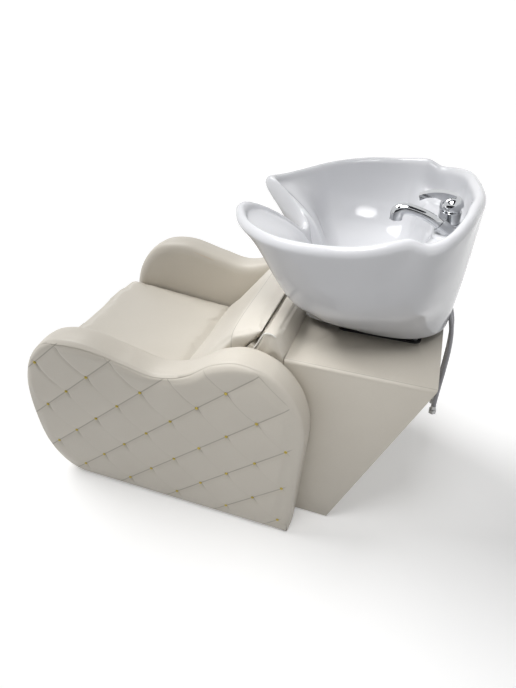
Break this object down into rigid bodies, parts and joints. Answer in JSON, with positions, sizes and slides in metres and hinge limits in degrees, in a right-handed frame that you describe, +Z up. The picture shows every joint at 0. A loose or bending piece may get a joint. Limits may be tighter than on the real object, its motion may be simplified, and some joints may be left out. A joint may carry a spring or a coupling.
{
  "type": "salon backwash unit",
  "caption": "Salon hair-wash seat: padded seat between waved quilted arms, slanted plinth behind, tilting basin with lever mixer and hand shower.",
  "frame": {"origin": "on the floor, at the centre of the part's footprint box", "axes": "+Z up, -Y towards the client's feet, +X towards the client's left"},
  "size_m": [0.74, 1.1874, 0.94],
  "materials": {
    "cream_leather": "satin",
    "quilted_leather": "satin",
    "padding_cover": "satin",
    "plywood": "matte",
    "stud_gold": "polished",
    "glazed_ceramic": "gloss",
    "black_plate": "satin",
    "bright_steel": "satin",
    "chrome": "polished",
    "rubber": "matte",
    "hose_braid": "satin",
    "white_plastic": "gloss",
    "black_plastic": "matte"
  },
  "bodies": {
    "frame": {"plinth_left_side": "plywood", "plinth_right_side": "plywood", "plinth_left_cover": "padding_cover", "plinth_right_cover": "padding_cover", "plinth_rear_board": "plywood", "plinth_rear_cover": "padding_cover", "plinth_front_board": "plywood", "plinth_cross_rails": "plywood", "plinth_top_board": "plywood", "plinth_top_cover": "padding_cover", "seat_board": "plywood", "seat_cushion": "cream_leather", "backrest_board": "plywood", "backrest_cushion": "cream_leather", "back_panel": "cream_leather", "back_panel_board": "plywood", "arm_spacers": "plywood", "arm_bolts": "bright_steel", "floor_glides": "black_plastic", "tilt_bracket": "black_plate", "bracket_bolts": "bright_steel", "tilt_pin": "bright_steel", "tilt_pin_nut": "bright_steel", "tilt_stops": "rubber", "arm_left_lining": "padding_cover", "arm_left_inner_board": "plywood", "arm_left_outer_board": "plywood", "arm_left_boxing": "cream_leather", "arm_left_quilted_panel": "quilted_leather", "arm_left_studs": "stud_gold", "arm_right_lining": "padding_cover", "arm_right_inner_board": "plywood", "arm_right_outer_board": "plywood", "arm_right_boxing": "cream_leather", "arm_right_quilted_panel": "quilted_leather", "arm_right_studs": "stud_gold"},
    "tilting_basin": {"basin": "glazed_ceramic", "tilt_cradle": "black_plate", "basin_pads": "rubber", "cradle_bolts": "bright_steel", "waste_flange": "chrome", "waste_seal": "rubber", "waste_tail": "black_plastic", "mixer_gasket": "rubber", "mixer_body": "chrome", "mixer_cartridge": "white_plastic", "mixer_stud": "bright_steel", "mixer_washer": "bright_steel", "mixer_nut": "bright_steel", "shower_holder": "chrome", "shower_holder_nut": "bright_steel", "hot_supply_hose": "hose_braid", "cold_supply_hose": "hose_braid", "hose_ferrules": "bright_steel", "hose_nuts": "bright_steel"},
    "mixer_turning_ball": {"mixer_swivel": "chrome"},
    "lever": {"mixer_lever": "chrome"},
    "shower": {"hand_shower": "chrome", "shower_spray_face": "white_plastic"},
    "strainer": {"hair_strainer": "chrome"}
  },
  "joints": [
    {"name": "basin_tilt", "type": "hinge", "parent": "frame", "child": "tilting_basin", "pos_m": [0, 0.46988, 0.6], "axis": [-1, 0, 0], "range_deg": [0, 10]},
    {"name": "mixer_turn", "type": "hinge", "parent": "tilting_basin", "child": "mixer_turning_ball", "pos_m": [0, 0.50788, 0.8985], "axis": [0, 0, 1], "range_deg": [-45, 45]},
    {"name": "lever_lift", "type": "hinge", "parent": "mixer_turning_ball", "child": "lever", "pos_m": [0, 0.50788, 0.8985], "axis": [-1, 0, 0], "range_deg": [0, 20]},
    {"name": "shower_pull", "type": "slide", "parent": "tilting_basin", "child": "shower", "axis": [0, -0.8191, 0.5736], "range_m": [0, 0.25]},
    {"name": "strainer_lift", "type": "slide", "parent": "tilting_basin", "child": "strainer", "axis": [0, 0, 1], "range_m": [0, 0.06]}
  ]
}
